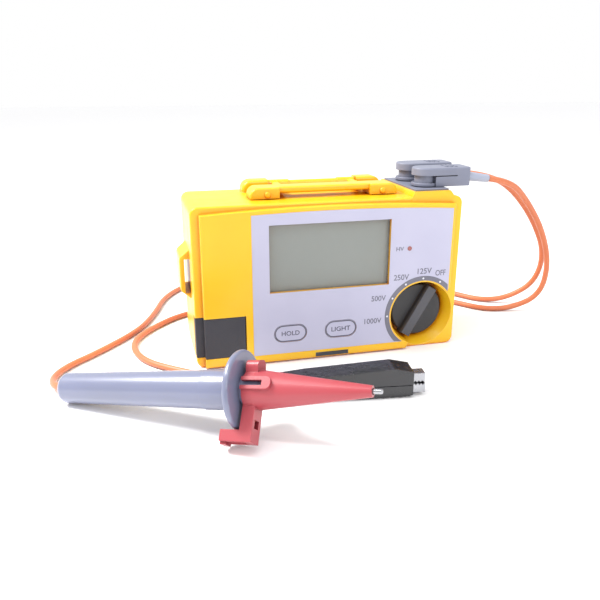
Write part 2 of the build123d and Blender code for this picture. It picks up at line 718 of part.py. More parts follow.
def detent_plate():
    """Five-position detent ring fixed round the switch body."""
    front = PANEL_FRONT + WELL_DEPTH + 2.3
    ring = y_rod(KNOB_X, KNOB_Z, front + 4, front + 5.2, 14.0)
    ring -= y_rod(KNOB_X, KNOB_Z, front + 3, front + 7, 12.0)
    for step in range(5):
        angle = math.radians(KNOB_OFF_ANGLE + 30.0 * step)
        x = KNOB_X + 14.0 * math.cos(angle)
        z = KNOB_Z + 14.0 * math.sin(angle)
        ring -= y_rod(x, z, front + 3, front + 7, 1.2)
    return ring


# ---------------------------------------------------------------- boards
def main_board():
    """Main circuit board."""
    board = box(BOARD_LEFT, BOARD_RIGHT, BOARD_FRONT, BOARD_FRONT + BOARD_THICK, BOARD_BOTTOM, BOARD_TOP)
    for x, z in BOARD_SCREWS:
        board -= y_rod(x, z, BOARD_FRONT - 1, BOARD_FRONT + 3, 1.2)
    return board


def board_screws():
    """Screws that hold the main board to its posts."""
    screws = []
    for x, z in BOARD_SCREWS:
        head = y_rod(x, z, BOARD_FRONT - 1.5, BOARD_FRONT, 2.2)
        screws.append(head + y_rod(x, z, BOARD_FRONT, BOARD_FRONT + 9.0, 1.0))
    return screws


def key_board():
    """Small board that carries the key switches."""
    return box(-78, 22, KEY_BOARD_FRONT, KEY_BOARD_FRONT + 1.2, 14.0, 34.0)


def board_spacers():
    """Spacers between the key board and the main board."""
    spacers = []
    for x in (-60, 15):
        for z in (16.5, 31.5):
            spacers.append(y_rod(x, z, KEY_BOARD_FRONT + 1.2, BOARD_FRONT, 1.6))
    return spacers


def hv_transformer():
    """High-voltage transformer on the back of the main board."""
    y = BOARD_FRONT + BOARD_THICK
    core = box(-20, 2, y, y + 14, 56, 76)
    return core + box(-17, -1, y + 1, y + 16, 59, 73)


def hv_capacitors():
    """High-voltage capacitors on the main board."""
    y = BOARD_FRONT + BOARD_THICK
    cans = []
    for x in (10, 19, 28):
        cans.append(y_rod(x, 66, y, y + 15, 3.8))
    return cans


def controller_chips():
    """Packaged circuits on the main board."""
    y = BOARD_FRONT + BOARD_THICK
    chips = []
    for x, z, half in ((-42, 66, 6), (-30, 54, 3.5), (40, 62, 5)):
        chips.append(box(x - half, x + half, y, y + 1.6, z - half, z + half))
    return chips


def buzzer():
    """Sounder on the main board."""
    y = BOARD_FRONT + BOARD_THICK
    return y_rod(-55, 62, y, y + 6, 6.0) - y_rod(-55, 62, y + 5, y + 7, 1.0)


def fuse():
    """Cartridge fuse behind the main board."""
    y = BOARD_FRONT + BOARD_THICK + 5
    return x_rod(y, 54, 8, 28, 2.5)


def fuse_clips():
    """Two spring clips that hold the fuse."""
    y = BOARD_FRONT + BOARD_THICK
    clips = []
    for x in (10.5, 25.5):
        clip = box(x - 1.5, x + 1.5, y, y + 7, 50.7, 57.3)
        clip -= x_rod(y + 5, 54, x - 2, x + 2, 2.5)
        clips.append(clip)
    return clips


# ---------------------------------------------------------------- battery
def bay_middle():
    """Depth of the cells' centre line."""
    return CASE_BACK - WALL - BAY_DEPTH / 2


def batteries():
    """Four cells in two rows of two."""
    cells = []
    middle = (BAY_LEFT + BAY_RIGHT) / 2
    mid_z = (BAY_BOTTOM + BAY_TOP) / 2
    y = bay_middle()
    for row in (-0.5, 0.5):
        z = mid_z + row * CELL_PITCH
        for start in (middle - CELL_LENGTH - 1.2, middle + 0.2):
            can = x_rod(y, z, start, start + CELL_LENGTH, CELL_RADIUS)
            cells.append(can + x_rod(y, z, start, start + CELL_LENGTH + 0.9, 2.6))
    return cells


def battery_contacts():
    """Contact plates at the ends of the bay."""
    plates = []
    y = bay_middle()
    mid_z = (BAY_BOTTOM + BAY_TOP) / 2
    for x in (BAY_LEFT, BAY_RIGHT - 0.5):
        for row in (-0.5, 0.5):
            z = mid_z + row * CELL_PITCH
            plates.append(box(x, x + 0.5, y - 5, y + 5, z - 5, z + 5))
    return plates


def battery_cover():
    """Cover that lies flush in the back of the case."""
    y0 = CASE_BACK - COVER_THICK
    cover = bay_box(COVER_LAP - COVER_GAP, y0, CASE_BACK)
    cover += cover_tongue(0) & box(-200, 200, y0, CASE_BACK, -10, 200)
    for step in range(6):
        x = (BAY_LEFT + BAY_RIGHT) / 2 - 12.5 + step * 5
        cover -= box(x - 0.8, x + 0.8, CASE_BACK - 0.6, CASE_BACK + 1, BAY_BOTTOM + 3, BAY_BOTTOM + 13)
    x, z = cover_screw_centre()
    return cover - y_rod(x, z, y0 - 1, CASE_BACK + 1, 1.5)


def cover_screw_centre():
    """X and Z of the battery cover's screw."""
    return ((BAY_LEFT + BAY_RIGHT) / 2, BAY_TOP + COVER_LAP + 3)


def cross_head(x, z, face, radius, height):
    """Screw head with a cross recess, its face towards the back."""
    head = y_rod(x, z, face - height, face, radius)
    head -= box(x - radius * 0.6, x + radius * 0.6, face - 0.9, face + 1, z - 0.3, z + 0.3)
    return head - box(x - 0.3, x + 0.3, face - 0.9, face + 1, z - radius * 0.6, z + radius * 0.6)


def cover_screw():
    """Screw that holds the battery cover."""
    x, z = cover_screw_centre()
    return cross_head(x, z, CASE_BACK + 1.4, 2.6, 1.4) + y_rod(x, z, 24, CASE_BACK + 0.1, 1.25)


def case_screws():
    """Four screws that clamp the shells together."""
    screws = []
    face = CASE_BACK - 3.6
    for x, z in CASE_SCREWS:
        head = cross_head(x, z, face, SCREW_HEAD_RADIUS, 2.4)
        screws.append(head + y_rod(x, z, SEAM - 5.5, face - 2.3, SCREW_RADIUS))
    return screws


# ---------------------------------------------------------------- terminals
def terminal_plate():
    """Grey plate round the two terminals."""
    plate = plate_block(BLOCK_TOP + PLATE_PROUD)
    for y in socket_ys():
        plate -= z_rod(SOCKET_X, y, 90, 110, SOCKET_RADIUS)
    return plate


def socket_insulator(y):
    """Shrouded body of one terminal."""
    top = BLOCK_TOP + PLATE_PROUD
    body = z_rod(SOCKET_X, y, SOCKET_BOTTOM, top, SOCKET_RADIUS)
    body -= z_rod(SOCKET_X, y, SOCKET_BOTTOM - 1, top - 2.0, SLEEVE_RADIUS)
    return body - z_rod(SOCKET_X, y, SOCKET_BOTTOM, top + 1, PIN_RADIUS + 0.4)


def socket_sleeve(y):
    """Metal contact sleeve of one terminal."""
    top = BLOCK_TOP + PLATE_PROUD - 2.0
    sleeve = z_rod(SOCKET_X, y, SOCKET_BOTTOM - 1.5, top, SLEEVE_RADIUS)
    return sleeve - z_rod(SOCKET_X, y, SOCKET_BOTTOM, top + 1, PIN_RADIUS + PIN_CLEARANCE)


# ---------------------------------------------------------------- carry handle
def ear_plate(outer, inner):
    """Front foot of the handle, rounded at its outer top corner."""
    low = min(outer, inner)
    high = max(outer, inner)
    ear = box(low, high, EAR_FRONT, RAIL_BACK, CASE_HEIGHT + LIFT_GAP, RAIL_TOP)
    tall = ear.edges().filter_by(Axis.Y).group_by(Axis.Z)[-1]
    tip = tall.sort_by(Axis.X)[0] if outer < inner else tall.sort_by(Axis.X)[-1]
    ear = fillet(tip, 5.0)
    ear = fillet(ear.faces().sort_by(Axis.Z)[-1].edges().filter_by(Axis.X), 1.2)
    x = (outer + inner) / 2 + (1.5 if outer < inner else -1.0)
    nub = y_rod(x, CASE_HEIGHT + LIFT_GAP + 2.4, EAR_FRONT - 1.2, EAR_FRONT + 1, 1.9)
    nub = fillet(nub.faces().sort_by(Axis.Y)[0].edges(), 0.9)
    return ear + nub


def carry_handle():
    """Folding handle: front rail with two feet, two arms and a hinge barrel."""
    left = -HANDLE_HALF_LEFT
    right = HANDLE_HALF_RIGHT
    rail = box(left + 8, right - 8, RAIL_FRONT, RAIL_BACK, RAIL_TOP - RAIL_THICK, RAIL_TOP)
    rail = fillet(rail.edges().filter_by(Axis.X), 1.4)
    handle = rail + ear_plate(left, left + EAR_WIDTH) + ear_plate(right, right - EAR_WIDTH)
    for x in (ARM_LEFT_X, ARM_RIGHT_X):
        half = ARM_WIDTH / 2
        arm = box(x - half, x + half, RAIL_BACK - 2, HINGE_Y, HINGE_Z - 1.8, HINGE_Z + 1.9)
        handle += fillet(arm.edges().filter_by(Axis.Y).group_by(Axis.Z)[-1], 1.2)
    start = left + LUG_WIDTH + LUG_GAP
    end = right - LUG_WIDTH - LUG_GAP
    handle += x_rod(HINGE_Y, HINGE_Z, start, end, BARREL_RADIUS - 0.6)
    handle += x_rod(HINGE_Y, HINGE_Z, start, start + 14, BARREL_RADIUS)
    handle += x_rod(HINGE_Y, HINGE_Z, end - 12, end, BARREL_RADIUS)
    return handle - x_rod(HINGE_Y, HINGE_Z, start - 1, end + 1, HINGE_PIN_RADIUS + HINGE_CLEARANCE)


def handle_pin():
    """Steel hinge pin of the handle."""
    return x_rod(HINGE_Y, HINGE_Z, -HANDLE_HALF_LEFT + 3, HANDLE_HALF_RIGHT - 3, HINGE_PIN_RADIUS)


# ---------------------------------------------------------------- plugs
def plug_bottom():
    """Height of a plug's underside."""
    return BLOCK_TOP + PLATE_PROUD + PLUG_GAP


def plug_body(y):
    """Right-angle plug: flange and neck over the pin, slotted arm to the right."""
    bottom = plug_bottom()
    top = bottom + PLUG_HEIGHT
    cap_low = top - PLUG_TOP_THICK
    half = PLUG_WIDTH / 2
    left = SOCKET_X - half
    right = left + PLUG_LENGTH
    cap = box(SOCKET_X, right, y - half, y + half, cap_low, top) + z_rod(SOCKET_X, y, cap_low, top, half)
    ends = cap.edges().filter_by(Axis.Z).group_by(Axis.X)[-1]
    cap = fillet(ends, 2.5)
    cap = fillet(cap.faces().sort_by(Axis.Z)[-1].edges(), 1.0)
    start = left + PLUG_BLOCK_START
    block = box(start, right, y - half, y + half, bottom, cap_low + 1)
    block = fillet(block.edges().filter_by(Axis.Z).group_by(Axis.X)[-1], 2.5)
    slot = box(start - 1, right - 9.5, y - half - 1, y + half + 1, cap_low - PLUG_SLOT, cap_low)
    body = cap + block - slot
    body += z_rod(SOCKET_X, y, bottom, top - 1, PLUG_NECK_RADIUS)
    flange = z_rod(SOCKET_X, y, bottom, bottom + PLUG_FLANGE_THICK, half)
    body += fillet(flange.edges().filter_by(GeomType.CIRCLE), 0.5)
    for step in range(3):
        x = right - 15 + step * 3.2
        body += box(x - 0.6, x + 0.6, y - half + 4, y + half - 4, top - 0.5, top + 0.4)
    return body - z_rod(SOCKET_X, y, bottom - 1, bottom + 5, PIN_RADIUS)


def plug_pin(y):
    """Four-millimetre contact pin of a plug."""
    bottom = plug_bottom()
    pin = z_rod(SOCKET_X, y, bottom - PIN_LENGTH, bottom + 5, PIN_RADIUS)
    return chamfer(pin.faces().sort_by(Axis.Z)[0].edges(), 0.7)


def relief_frame(y):
    """Frame where the strain relief leaves a plug, Z along the lead."""
    tilt = math.radians(RELIEF_TILT)
    right = SOCKET_X - PLUG_WIDTH / 2 + PLUG_LENGTH
    height = plug_bottom() + 5.0
    return Plane(origin=(right, y, height), z_dir=(math.cos(tilt), 0, -math.sin(tilt)))


def relief_end(y):
    """Point where the lead leaves the strain relief."""
    frame = relief_frame(y)
    return frame.origin + frame.z_dir * RELIEF_LENGTH


def plug_relief(y):
    """Tapered strain relief of a plug."""
    frame = relief_frame(y)
    inner = frame.offset(-0.6)
    cone = Cone(3.1, 2.5, RELIEF_LENGTH + 0.6, align=(CENTRE, CENTRE, LOW))
    right = SOCKET_X - PLUG_WIDTH / 2 + PLUG_LENGTH
    return inner.location * cone & box(right, right + 30, -100, 100, 0, 200)


# ---------------------------------------------------------------- test leads
def lead_radii(points):
    """Arc radius at each inner corner of a lead's route."""
    radii = []
    for before, here, after in zip(points, points[1:], points[2:]):
        first = Vector(*here) - Vector(*before)
        second = Vector(*after) - Vector(*here)
        turn = math.radians(first.get_angle(second))
        radii.append(0.45 * min(first.length, second.length) / math.tan(turn / 2))
    return radii


def lead_tube(name, points):
    """Plain tube of straight runs joined by tangent arcs."""
    radii = lead_radii(points)
    path = FilletPolyline(*points, radius=radii)
    start = Plane(origin=path @ 0, z_dir=path % 0)
    tube = sweep(start * Circle(LEAD_RADIUS), path=path)
    expected = math.pi * LEAD_RADIUS**2 * path.length
    print(name, "length", round(path.length, 1), "volume ratio", round(tube.volume / expected, 4))
    print(name, "radii", [round(radius, 1) for radius in radii])
    print(name, "route", [tuple(round(value, 1) for value in point) for point in points])
    return tube


# ---------------------------------------------------------------- hand probe
def probe_place():
    """Location of the probe: X along its axis from the rear end."""
    return Pos(*PROBE_REAR) * Rot(0, 0, PROBE_YAW) * Rot(0, -PROBE_RISE, 0)


def probe_point(s, across=0.0, up=0.0):
    """Point of the probe's own frame in the row's frame."""
    spot = probe_place() * Pos(s, across, up)
    return tuple(spot.position)


def turned(profile):
    """Solid of revolution about X from a list of (distance, radius) points."""
    face = make_face(Polyline(*profile, close=True))
    return revolve(face, axis=Axis.X)


def probe_handle():
    """Tapered grip with a collar in front and a hole for the lead."""
    grip = turned(
        [
            (0, 0), (0, HANDLE_REAR_RADIUS), (COLLAR_START, HANDLE_FRONT_RADIUS),
            (COLLAR_START, COLLAR_RADIUS), (GUARD_START, COLLAR_RADIUS), (GUARD_START, 0),
        ]
    )
    rear = grip.edges().filter_by(GeomType.CIRCLE).sort_by(Axis.X)[0]
    return fillet(rear, 3.0)


def probe_guard():
    """Round finger guard."""
    disc = x_rod(0, 0, GUARD_START, GUARD_START + GUARD_THICK, GUARD_RADIUS)
    return fillet(disc.edges().filter_by(GeomType.CIRCLE), GUARD_THICK / 2 - 0.2)


def probe_nose():
    """Insulated nose in front of the guard, inside the cover."""
    start = GUARD_START + GUARD_THICK
    nose = turned(
        [(start, 0), (start, NOSE_RADIUS), (COVER_START + 8, NOSE_RADIUS), (NOSE_END, 2.6), (NOSE_END, 0)]
    )
    return nose - x_rod(0, 0, NOSE_END - 14, NOSE_END + 1, TIP_RADIUS)


def probe_tip():
    """Metal contact rod with a blunt point."""
    rod_body = x_rod(0, 0, NOSE_END - 14, TIP_END, TIP_RADIUS)
    return fillet(rod_body.faces().sort_by(Axis.X)[-1].edges(), 0.7)


def round_spoke(angle, s0, s1, r0, r1, width):
    """Block that stands out from the probe's axis at an angle from its near side."""
    block = box(s0, s1, -r1, -r0, -width / 2, width / 2)
    return Rot(-angle, 0, 0) * block


def probe_cover():
    """Sliding cone cover with rest bracket, ear and side slot."""
    start = COVER_START
    end = COVER_END
    outer = turned(
        [
            (start, 0), (start, COVER_BASE_RADIUS), (start + 5, COVER_BASE_RADIUS), (end, COVER_TIP_RADIUS),
            (end, 0),
        ]
    )
    ear = round_spoke(EAR_ANGLE, start, start + 6.5, COVER_BASE_RADIUS - 2, COVER_BASE_RADIUS + 4.5, 9.0)
    ear = fillet(ear.edges().filter_by(Axis.X).sort_by(Axis.Z)[-2:], 3.0)
    leg_low = COVER_BASE_RADIUS - 2
    leg = round_spoke(BRACKET_ANGLE, start - 0.5, start + 6.0, leg_low, BRACKET_REACH, BRACKET_WIDTH)
    leg -= round_spoke(BRACKET_ANGLE, start - 2, start + 8, 15.0, 19.0, 4.5)
    arm_low = GUARD_RADIUS + 0.6
    arm = round_spoke(BRACKET_ANGLE, start - BRACKET_BACK, start + 6.0, arm_low, BRACKET_REACH, BRACKET_WIDTH)
    arm += round_spoke(BRACKET_ANGLE, start - BRACKET_BACK, start + 2.0, arm_low, BRACKET_REACH + 0.6, 1.6)
    tab_end = start - BRACKET_BACK + 3.0
    tab = round_spoke(BRACKET_ANGLE, start - BRACKET_BACK, tab_end, arm_low, BRACKET_REACH + 1.4, 6.0)
    rim_low = COVER_BASE_RADIUS - 3
    rim = round_spoke(SLOT_ANGLE, start - 0.4, start + 15.0, rim_low, COVER_BASE_RADIUS + 0.5, 6.2)
    rim = fillet(rim.faces().sort_by(Axis.X)[-1].edges().sort_by(SortBy.LENGTH)[-4:-2], 2.6)
    cover = outer + ear + leg + arm + tab + rim
    slope = (COVER_BASE_RADIUS - COVER_TIP_RADIUS) / (end - start - 5)
    base_bore = COVER_BASE_RADIUS - COVER_WALL
    tip_bore = COVER_TIP_RADIUS - COVER_WALL
    inside = turned(
        [
            (start - 1, 0), (start - 1, base_bore), (start + 5, base_bore),
            (end - 8, tip_bore + 8 * slope), (end + 1, tip_bore + 0.2), (end + 1, 0),
        ]
    )
    cover -= inside
    slot = round_spoke(SLOT_ANGLE, start - 2, start + 10.5, COVER_BASE_RADIUS - 4, COVER_BASE_RADIUS + 4, 2.6)
    return cover - slot


# ---------------------------------------------------------------- crocodile clip
def clip_place():
    """Location of the clip: X towards the jaws, Z up from its underside."""
    return Pos(*CLIP_ORIGIN) * Rot(0, 0, CLIP_YAW)


def clip_side():
    """Side outline of the closed boots in X and Z."""
    points = [
        (0, 1.6), (4, 0), (CLIP_LENGTH - 8, 0), (CLIP_LENGTH, 1.6), (CLIP_LENGTH, 15.4),
        (CLIP_LENGTH - 11, 17.8), (20, 14.6), (0, 12.4),
    ]
    return points


def clip_form(inset):
    """Outside of both boots, or the space inside them when inset by the wall."""
    half = CLIP_WIDTH / 2 - inset
    if inset > 0:
        return box(inset, CLIP_LENGTH + 1, -half, half, inset, 15.0 - inset)
    form = extrude(Plane.XZ.offset(-half) * make_face(Polyline(*clip_side(), close=True)), amount=2 * half)
    return fillet(form.edges().filter_by(Axis.X, tolerance=10).group_by(Axis.Z)[0], 2.0)


def rear_wedge(sign):
    """Space behind the pivot that lets the boots close at the rear."""
    reach = CLIP_PIVOT_X + 2
    drop = reach * math.tan(math.radians(CLIP_OPEN)) / 2 + 0.4
    low = CLIP_SPLIT - drop if sign < 0 else CLIP_SPLIT - 0.1
    high = CLIP_SPLIT + 0.1 if sign < 0 else CLIP_SPLIT + drop
    if sign < 0:
        points = [(-2, low), (-2, high), (CLIP_PIVOT_X, high), (CLIP_PIVOT_X, CLIP_SPLIT - 0.05)]
    else:
        points = [(-2, low), (-2, high), (CLIP_PIVOT_X, CLIP_SPLIT + 0.05), (CLIP_PIVOT_X, low)]
    return extrude(Plane.XZ.offset(-20) * make_face(Polyline(*points, close=True)), amount=40)


def lower_boot():
    """Lower soft boot; the lead enters its rear end."""
    top = CLIP_SPLIT - CLIP_SEAM / 2
    boot = clip_form(0) & box(-1, 200, -20, 20, -1, top)
    boot -= clip_form(CLIP_WALL)
    boot += box(0, 6, -5, 5, 1.0, 5.2) & clip_form(0)
    return boot - rear_wedge(-1)


def upper_boot():
    """Upper soft boot."""
    low = CLIP_SPLIT + CLIP_SEAM / 2
    boot = clip_form(0) & box(-1, 200, -20, 20, low, 30)
    boot -= clip_form(CLIP_WALL)
    return boot - rear_wedge(1)


def teeth(sign, half):
    """Row of teeth cut along one jaw's meeting edge."""
    cuts = Part()
    for step in range(6):
        x = JAW_END - 1.5 - step * 2.0
        points = [(x - 0.9, CLIP_SPLIT), (x + 0.9, CLIP_SPLIT), (x, CLIP_SPLIT + sign * 1.1)]
        cut = extrude(Plane.XZ.offset(-half) * make_face(Polyline(*points, close=True)), amount=2 * half)
        cuts += cut
    return cuts


def lower_jaw():
    """Channel-shaped lower jaw with pivot ears."""
    half = JAW_WIDTH / 2
    low = CLIP_WALL + 0.5
    top = CLIP_SPLIT - CLIP_SEAM / 2
    jaw = box(14, JAW_END, -half, half, low, top)
    jaw -= box(13, JAW_END - JAW_SHEET, -half + JAW_SHEET, half - JAW_SHEET, low + JAW_SHEET, top + 1)
    jaw -= rear_wedge(-1)
    ears = rod((CLIP_PIVOT_X, -half, CLIP_SPLIT), (CLIP_PIVOT_X, half, CLIP_SPLIT), 3.0)
    ears -= box(0, 200, -half + JAW_SHEET, half - JAW_SHEET, 0, 20)
    jaw += ears - teeth(-1, half + 1)
    jaw -= teeth(-1, half + 1)
    reach = half + 1
    pin = rod((CLIP_PIVOT_X, -reach, CLIP_SPLIT), (CLIP_PIVOT_X, reach, CLIP_SPLIT), CLIP_PIN_RADIUS)
    return jaw - pin


def upper_jaw():
    """Upper jaw, one sheet narrower at the pivot so that it nests in the lower."""
    inner = JAW_WIDTH / 2 - JAW_SHEET - 0.3
    low = CLIP_SPLIT + CLIP_SEAM / 2
    top = low + 5.2
    jaw = box(14, JAW_END, -inner, inner, low, top)
    jaw -= box(13, JAW_END - JAW_SHEET, -inner + JAW_SHEET, inner - JAW_SHEET, low - 1, top - JAW_SHEET)
    jaw -= rear_wedge(1)
    ears = rod((CLIP_PIVOT_X, -inner, CLIP_SPLIT), (CLIP_PIVOT_X, inner, CLIP_SPLIT), 3.0)
    ears -= box(0, 200, -inner + JAW_SHEET, inner - JAW_SHEET, 0, 20)
    jaw += ears
    jaw -= teeth(1, inner + 1)
    bore = CLIP_PIN_RADIUS + 0.08
    return jaw - rod((CLIP_PIVOT_X, -inner - 1, CLIP_SPLIT), (CLIP_PIVOT_X, inner + 1, CLIP_SPLIT), bore)


def clip_pin():
    """Pivot pin of the clip."""
    half = JAW_WIDTH / 2
    return rod((CLIP_PIVOT_X, -half, CLIP_SPLIT), (CLIP_PIVOT_X, half, CLIP_SPLIT), CLIP_PIN_RADIUS)


def clip_spring():
    """Torsion spring coil round the pivot pin."""
    path = Helix(pitch=0.9, height=3.6, radius=1.9)
    section = Plane(origin=path @ 0, z_dir=path % 0) * Circle(0.3)
    coil = sweep(section, path=path)
    return Plane(origin=(CLIP_PIVOT_X, -1.8, CLIP_SPLIT), z_dir=(0, 1, 0)).location * coil


# ---------------------------------------------------------------- build
def lead_start(y):
    """First two points of a lead, along its strain relief."""
    start = relief_end(y)
    return [tuple(start), tuple(start + relief_frame(y).z_dir * LEAD_STRAIGHT)]


def clip_lead_route():
    """Corners of the lead from the front plug to the clip."""
    place = clip_place()
    last = tuple((place * Pos(-LEAD_INTO_CLIP, 0, LEAD_ENTRY)).position)
    entry = tuple((place * Pos(0, 0, LEAD_ENTRY)).position)
    return lead_start(socket_ys()[0]) + CLIP_LEAD + [last, entry]


def probe_lead_route():
    """Corners of the lead from the rear plug to the probe."""
    return lead_start(socket_ys()[1]) + PROBE_LEAD + [probe_point(-LEAD_INTO_PROBE), PROBE_REAR]


def build_nodes():
    """Every node's name and its solids."""
    front_y, rear_y = socket_ys()
    at_probe = probe_place()
    at_clip = clip_place()
    nodes = {
        "front_shell": front_shell(),
        "rear_shell": rear_shell(),
        "case_gasket": case_gasket(),
        "case_screws": case_screws(),
        "panel_label": panel_label(),
        "lcd_window": lcd_window(),
        "lcd_glass": lcd_glass(),
        "lcd_frame": lcd_frame(),
        "lcd_connector": lcd_connector(),
        "hv_lamp": hv_lamp(),
        "panel_catch": panel_catch(),
        "range_knob": range_knob(),
        "knob_shaft": knob_shaft(),
        "rotary_switch": rotary_switch(),
        "detent_plate": detent_plate(),
        "measure_key": measure_key(),
        "measure_spring": measure_spring(),
        "measure_switch": measure_switch(),
        "hold_key": push_key(HOLD_X),
        "light_key": push_key(LIGHT_X),
        "key_switches": [key_switch(HOLD_X), key_switch(LIGHT_X)],
        "key_board": key_board(),
        "board_spacers": board_spacers(),
        "main_board": main_board(),
        "board_screws": board_screws(),
        "hv_transformer": hv_transformer(),
        "hv_capacitors": hv_capacitors(),
        "controller_chips": controller_chips(),
        "buzzer": buzzer(),
        "fuse": fuse(),
        "fuse_clips": fuse_clips(),
        "batteries": batteries(),
        "battery_contacts": battery_contacts(),
        "battery_cover": battery_cover(),
        "cover_screw": cover_screw(),
        "terminal_plate": terminal_plate(),
        "socket_insulators": [socket_insulator(front_y), socket_insulator(rear_y)],
        "socket_sleeves": [socket_sleeve(front_y), socket_sleeve(rear_y)],
        "carry_handle": carry_handle(),
        "handle_pin": handle_pin(),
        "front_plug_body": plug_body(front_y),
        "front_plug_pin": plug_pin(front_y),
        "front_plug_relief": plug_relief(front_y),
        "rear_plug_body": plug_body(rear_y),
        "rear_plug_pin": plug_pin(rear_y),
        "rear_plug_relief": plug_relief(rear_y),
        "clip_lead": lead_tube("clip_lead", clip_lead_route()),
        "probe_lead": lead_tube("probe_lead", probe_lead_route()),
        "probe_handle": at_probe * probe_handle(),
        "probe_guard": at_probe * probe_guard(),
        "probe_nose": at_probe * probe_nose(),
        "probe_tip": at_probe * probe_tip(),
        "probe_cover": at_probe * probe_cover(),
        "clip_lower_boot": at_clip * lower_boot(),
        "clip_upper_boot": at_clip * upper_boot(),
        "clip_lower_jaw": at_clip * lower_jaw(),
        "clip_upper_jaw": at_clip * upper_jaw(),
        "clip_pin": at_clip * clip_pin(),
        "clip_spring": at_clip * clip_spring(),
    }
    return nodes


def save(name, shape):
    """Write one node's solids to its STEP file."""
    solids = shape if isinstance(shape, list) else [shape]
    if len(solids) == 1:
        export_step(solids[0], f"parts/{name}.step")
        return
    export_step(Compound(children=solids), f"parts/{name}.step")


os.makedirs("parts", exist_ok=True)
for node_name, node_shape in build_nodes().items():
    save(node_name, node_shape)
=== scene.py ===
import math

import bmesh
import bpy
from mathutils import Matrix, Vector


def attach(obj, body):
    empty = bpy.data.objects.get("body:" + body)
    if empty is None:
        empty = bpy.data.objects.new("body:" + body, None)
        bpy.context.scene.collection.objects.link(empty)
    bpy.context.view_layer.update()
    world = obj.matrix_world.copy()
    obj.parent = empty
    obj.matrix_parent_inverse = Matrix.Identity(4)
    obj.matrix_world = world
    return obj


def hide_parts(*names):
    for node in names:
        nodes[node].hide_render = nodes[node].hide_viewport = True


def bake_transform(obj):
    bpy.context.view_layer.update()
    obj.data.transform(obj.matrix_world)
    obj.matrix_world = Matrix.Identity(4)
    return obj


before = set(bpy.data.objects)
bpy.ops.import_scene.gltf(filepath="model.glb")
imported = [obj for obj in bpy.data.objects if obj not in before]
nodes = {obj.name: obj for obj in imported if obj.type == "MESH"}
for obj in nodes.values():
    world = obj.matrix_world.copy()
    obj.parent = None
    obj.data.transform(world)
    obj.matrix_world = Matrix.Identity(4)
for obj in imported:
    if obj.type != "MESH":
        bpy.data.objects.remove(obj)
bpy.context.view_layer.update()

MM = 0.001
scene = bpy.context.scene

# ---------------------------------------------------------------- camera
camera_data = bpy.data.cameras.new("camera")
camera_data.sensor_width = 36.0
camera_data.lens = 39.29
camera = bpy.data.objects.new("camera", camera_data)
scene.collection.objects.link(camera)
camera.location = (-0.1154, -0.3989, 0.1683)
camera.rotation_euler = (math.radians(71.28), 0.0, math.radians(-14.42))
scene.camera = camera
scene.view_settings.view_transform = "Standard"


# ---------------------------------------------------------------- colour and material helpers
STUDIO_GAIN = 0.76
EDGE_COSINES = (0.86, 0.985)
# How far ambient occlusion reaches for the painted shade in crevices.
PAINTED_SHADE_REACH = 0.006
SCUFF_SCALE = 260.0
GLOSS_SCALE = 90.0
COAT_ROUGHNESS = 0.15
SKIN_RADIUS = (0.004, 0.002, 0.0006)
WINDOW_BUMP = 0.00000002


def srgb(r, g, b, gain=STUDIO_GAIN):
    """Linear base colour of what reads as an 8-bit display colour in the studio's bright light."""
    out = []
    for value in (r, g, b):
        c = value / 255.0
        linear = c / 12.92 if c <= 0.04045 else ((c + 0.055) / 1.055) ** 2.4
        out.append(linear * gain)
    return (*out, 1.0)


class Shader:
    """A Principled material that is built up a layer at a time, in object coordinates."""

    def __init__(self, name):
        self.material = bpy.data.materials.new(name)
        self.material.use_nodes = True
        self.tree = self.material.node_tree
        self.bsdf = self.tree.nodes["Principled BSDF"]
        self.coords = self.add("ShaderNodeTexCoord").outputs["Object"]

    def add(self, kind, **values):
        node = self.tree.nodes.new(kind)
        for key, value in values.items():
            setattr(node, key, value)
        return node

    def link(self, a, b):
        self.tree.links.new(a, b)

    def noise(self, scale, detail=3.0):
        node = self.add("ShaderNodeTexNoise")
        node.inputs["Scale"].default_value = scale
        node.inputs["Detail"].default_value = detail
        self.link(self.coords, node.inputs["Vector"])
        return node.outputs["Fac"]

    def ramp(self, source, low, high, at=(0.35, 0.65)):
        node = self.add("ShaderNodeMapRange")
        for i, value in enumerate((at[0], at[1], low, high)):
            node.inputs[i + 1].default_value = value
        self.link(source, node.inputs[0])
        return node.outputs[0]

    def times(self, a, b):
        node = self.add("ShaderNodeMath", operation="MULTIPLY")
        for i, value in enumerate((a, b)):
            if isinstance(value, (int, float)):
                node.inputs[i].default_value = value
            else:
                self.link(value, node.inputs[i])
        return node.outputs[0]

    def mix(self, fac, a, b):
        node = self.add("ShaderNodeMix", data_type="RGBA")
        self.link(fac, node.inputs[0])
        for socket, value in ((node.inputs[6], a), (node.inputs[7], b)):
            if isinstance(value, tuple):
                socket.default_value = value
            else:
                self.link(value, socket)
        return node.outputs[2]

    def edges(self, radius):
        """The rounded normal of the edges, and a mask that is 1 on them."""
        bevel = self.add("ShaderNodeBevel", samples=4)
        bevel.inputs["Radius"].default_value = radius
        geometry = self.add("ShaderNodeNewGeometry")
        dot = self.add("ShaderNodeVectorMath", operation="DOT_PRODUCT")
        self.link(bevel.outputs["Normal"], dot.inputs[0])
        self.link(geometry.outputs["Normal"], dot.inputs[1])
        mask = self.ramp(dot.outputs["Value"], 1.0, 0.0, at=EDGE_COSINES)
        return bevel.outputs["Normal"], mask

    def bump(self, height, depth, normal=None):
        node = self.add("ShaderNodeBump")
        node.inputs["Strength"].default_value = 1.0
        node.inputs["Distance"].default_value = depth
        self.link(height, node.inputs["Height"])
        if normal is not None:
            self.link(normal, node.inputs["Normal"])
        return node.outputs["Normal"]


